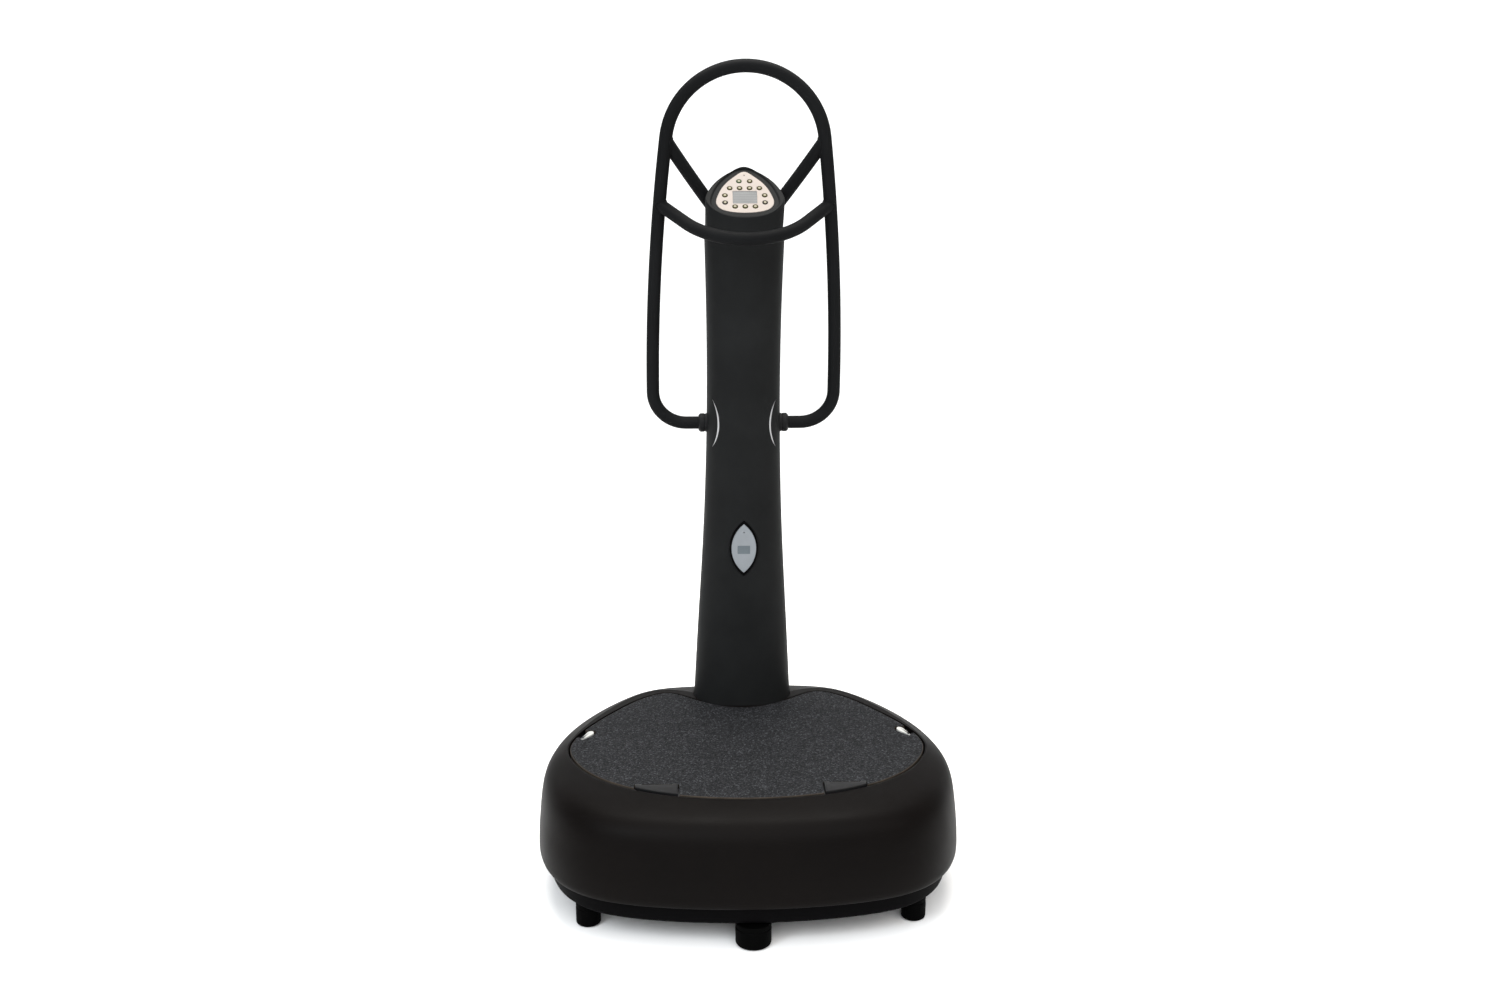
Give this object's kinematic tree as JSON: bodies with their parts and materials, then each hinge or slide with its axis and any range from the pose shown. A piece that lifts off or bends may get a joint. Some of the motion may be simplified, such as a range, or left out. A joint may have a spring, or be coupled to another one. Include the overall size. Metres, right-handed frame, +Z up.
{
  "type": "vibration plate",
  "caption": "Upright whole-body vibration trainer: sprung standing platform over a moulded base, slim column, looped tube handle with crossbar and a tilted control console",
  "frame": {"origin": "on the floor under the middle of the machine", "axes": "+X to the right of a user facing the column, +Y to the rear, +Z up"},
  "size_m": [0.8042, 0.7824, 1.55],
  "materials": {
    "cover_black": "satin moulded, near black",
    "base_black": "fine satin moulded, black",
    "tray_black": "fine matte texture",
    "handle_paint": "satin near-black powder coat",
    "frame_paint": "black powder coat",
    "plate_paint": "dark powder coat",
    "fastener_zinc": "zinc plated",
    "spigot_steel": "bright turned",
    "collar_black": "smooth satin",
    "foot_rubber": "matte",
    "wheel_rubber": "matte",
    "mat_rubber": "fine granular, dark blue-grey",
    "clip_black": "satin",
    "clip_white": "semi-gloss",
    "isolator_rubber": "matte",
    "motor_alloy": "as cast",
    "rotor_steel": "machined",
    "trim_silver": "brushed",
    "eye_black": "gloss",
    "eye_grey": "satin overlay film",
    "lcd_grey": "display window",
    "panel_grey": "satin overlay film, warm light grey",
    "key_grey": "soft-touch key with a dark ring",
    "board_green": "solder mask",
    "cable_black": "smooth jacket",
    "controller_grey": "fine texture",
    "inlet_black": "moulded",
    "rocker_black": "gloss"
  },
  "bodies": {
    "base": {"base_cover": "base_black", "rear_cover": "base_black", "under_tray": "tray_black", "base_frame": "frame_paint", "foot_nuts": "fastener_zinc", "wheel_axles": "spigot_steel", "cover_screws": "fastener_zinc", "column_post": "frame_paint", "column_bolts": "fastener_zinc", "column_front_cover": "cover_black", "column_rear_cover": "cover_black", "handle_loop": "handle_paint", "crossbar": "handle_paint", "strut_left": "handle_paint", "strut_right": "handle_paint", "collar_left": "collar_black", "collar_right": "collar_black", "handle_spigot": "spigot_steel", "side_trims": "trim_silver", "eye_bezel": "eye_black", "eye_face": "eye_grey", "eye_lcd": "lcd_grey", "console_head": "cover_black", "console_panel": "panel_grey", "console_lcd": "lcd_grey", "console_board": "board_green", "column_cable": "cable_black", "controller": "controller_grey", "mains_inlet": "inlet_black", "isolators": "isolator_rubber"},
    "platform": {"platform_plate": "plate_paint", "platform_frame": "frame_paint", "mat": "mat_rubber", "mat_clips": "clip_black", "side_clips": "clip_white", "motor_front": "motor_alloy", "motor_rear": "motor_alloy"},
    "rotor_front": {"rotor_front": "rotor_steel"},
    "rotor_rear": {"rotor_rear": "rotor_steel"},
    "wheel_left": {"wheel_left": "wheel_rubber"},
    "wheel_right": {"wheel_right": "wheel_rubber"},
    "foot_front": {"foot_front": "foot_rubber"},
    "foot_left": {"foot_left": "foot_rubber"},
    "foot_right": {"foot_right": "foot_rubber"},
    "foot_rear_left": {"foot_rear_left": "foot_rubber"},
    "foot_rear_right": {"foot_rear_right": "foot_rubber"},
    "power_switch": {"power_switch": "rocker_black"},
    "button_01": {"button_01": "key_grey"},
    "button_02": {"button_02": "key_grey"},
    "button_03": {"button_03": "key_grey"},
    "button_04": {"button_04": "key_grey"},
    "button_05": {"button_05": "key_grey"},
    "button_06": {"button_06": "key_grey"},
    "button_07": {"button_07": "key_grey"},
    "button_08": {"button_08": "key_grey"},
    "button_09": {"button_09": "key_grey"},
    "button_10": {"button_10": "key_grey"},
    "button_11": {"button_11": "key_grey"},
    "button_12": {"button_12": "key_grey"},
    "button_13": {"button_13": "key_grey"}
  },
  "joints": [
    {"name": "platform_shake", "type": "slide", "parent": "base", "child": "platform", "axis": [0, 0, 1], "range_m": [-0.002, 0.002], "stiffness_N_per_m": 600000, "springref_m": 0.00058, "deforming": ["isolators"]},
    {"name": "rotor_front_spin", "type": "hinge", "parent": "platform", "child": "rotor_front", "pos_m": [0, -0.13, 0.144], "axis": [1, 0, 0], "continuous": true},
    {"name": "rotor_rear_spin", "type": "hinge", "parent": "platform", "child": "rotor_rear", "pos_m": [0, 0.02, 0.144], "axis": [1, 0, 0], "continuous": true},
    {"name": "wheel_left_roll", "type": "hinge", "parent": "base", "child": "wheel_left", "pos_m": [-0.12, 0.352, 0.036], "axis": [1, 0, 0], "continuous": true},
    {"name": "wheel_right_roll", "type": "hinge", "parent": "base", "child": "wheel_right", "pos_m": [0.12, 0.352, 0.036], "axis": [1, 0, 0], "continuous": true},
    {"name": "foot_front_turn", "type": "hinge", "parent": "base", "child": "foot_front", "pos_m": [0, -0.35, 0.046], "axis": [0, 0, 1], "continuous": true},
    {"name": "foot_left_turn", "type": "hinge", "parent": "base", "child": "foot_left", "pos_m": [-0.303, -0.266, 0.046], "axis": [0, 0, 1], "continuous": true},
    {"name": "foot_right_turn", "type": "hinge", "parent": "base", "child": "foot_right", "pos_m": [0.303, -0.266, 0.046], "axis": [0, 0, 1], "continuous": true},
    {"name": "foot_rear_left_turn", "type": "hinge", "parent": "base", "child": "foot_rear_left", "pos_m": [-0.176, 0.282, 0.046], "axis": [0, 0, 1], "continuous": true},
    {"name": "foot_rear_right_turn", "type": "hinge", "parent": "base", "child": "foot_rear_right", "pos_m": [0.176, 0.282, 0.046], "axis": [0, 0, 1], "continuous": true},
    {"name": "power_rocker", "type": "hinge", "parent": "base", "child": "power_switch", "pos_m": [0, 0.3715, 0.139], "axis": [1, 0, 0], "range_deg": [0, 24]},
    {"name": "button_01_press", "type": "slide", "parent": "base", "child": "button_01", "axis": [0, -0.6293, 0.7771], "range_m": [-0.001, 0], "stiffness_N_per_m": 1500},
    {"name": "button_02_press", "type": "slide", "parent": "base", "child": "button_02", "axis": [0, -0.6293, 0.7771], "range_m": [-0.001, 0], "stiffness_N_per_m": 1500},
    {"name": "button_03_press", "type": "slide", "parent": "base", "child": "button_03", "axis": [0, -0.6293, 0.7771], "range_m": [-0.001, 0], "stiffness_N_per_m": 1500},
    {"name": "button_04_press", "type": "slide", "parent": "base", "child": "button_04", "axis": [0, -0.6293, 0.7771], "range_m": [-0.001, 0], "stiffness_N_per_m": 1500},
    {"name": "button_05_press", "type": "slide", "parent": "base", "child": "button_05", "axis": [0, -0.6293, 0.7771], "range_m": [-0.001, 0], "stiffness_N_per_m": 1500},
    {"name": "button_06_press", "type": "slide", "parent": "base", "child": "button_06", "axis": [0, -0.6293, 0.7771], "range_m": [-0.001, 0], "stiffness_N_per_m": 1500},
    {"name": "button_07_press", "type": "slide", "parent": "base", "child": "button_07", "axis": [0, -0.6293, 0.7771], "range_m": [-0.001, 0], "stiffness_N_per_m": 1500},
    {"name": "button_08_press", "type": "slide", "parent": "base", "child": "button_08", "axis": [0, -0.6293, 0.7771], "range_m": [-0.001, 0], "stiffness_N_per_m": 1500},
    {"name": "button_09_press", "type": "slide", "parent": "base", "child": "button_09", "axis": [0, -0.6293, 0.7771], "range_m": [-0.001, 0], "stiffness_N_per_m": 1500},
    {"name": "button_10_press", "type": "slide", "parent": "base", "child": "button_10", "axis": [0, -0.6293, 0.7771], "range_m": [-0.001, 0], "stiffness_N_per_m": 1500},
    {"name": "button_11_press", "type": "slide", "parent": "base", "child": "button_11", "axis": [0, -0.6293, 0.7771], "range_m": [-0.001, 0], "stiffness_N_per_m": 1500},
    {"name": "button_12_press", "type": "slide", "parent": "base", "child": "button_12", "axis": [0, -0.6293, 0.7771], "range_m": [-0.001, 0], "stiffness_N_per_m": 1500},
    {"name": "button_13_press", "type": "slide", "parent": "base", "child": "button_13", "axis": [0, -0.6293, 0.7771], "range_m": [-0.001, 0], "stiffness_N_per_m": 1500}
  ],
  "couplings": [
    {"joint": "rotor_rear_spin", "follows": "rotor_front_spin", "ratio": -1}
  ]
}
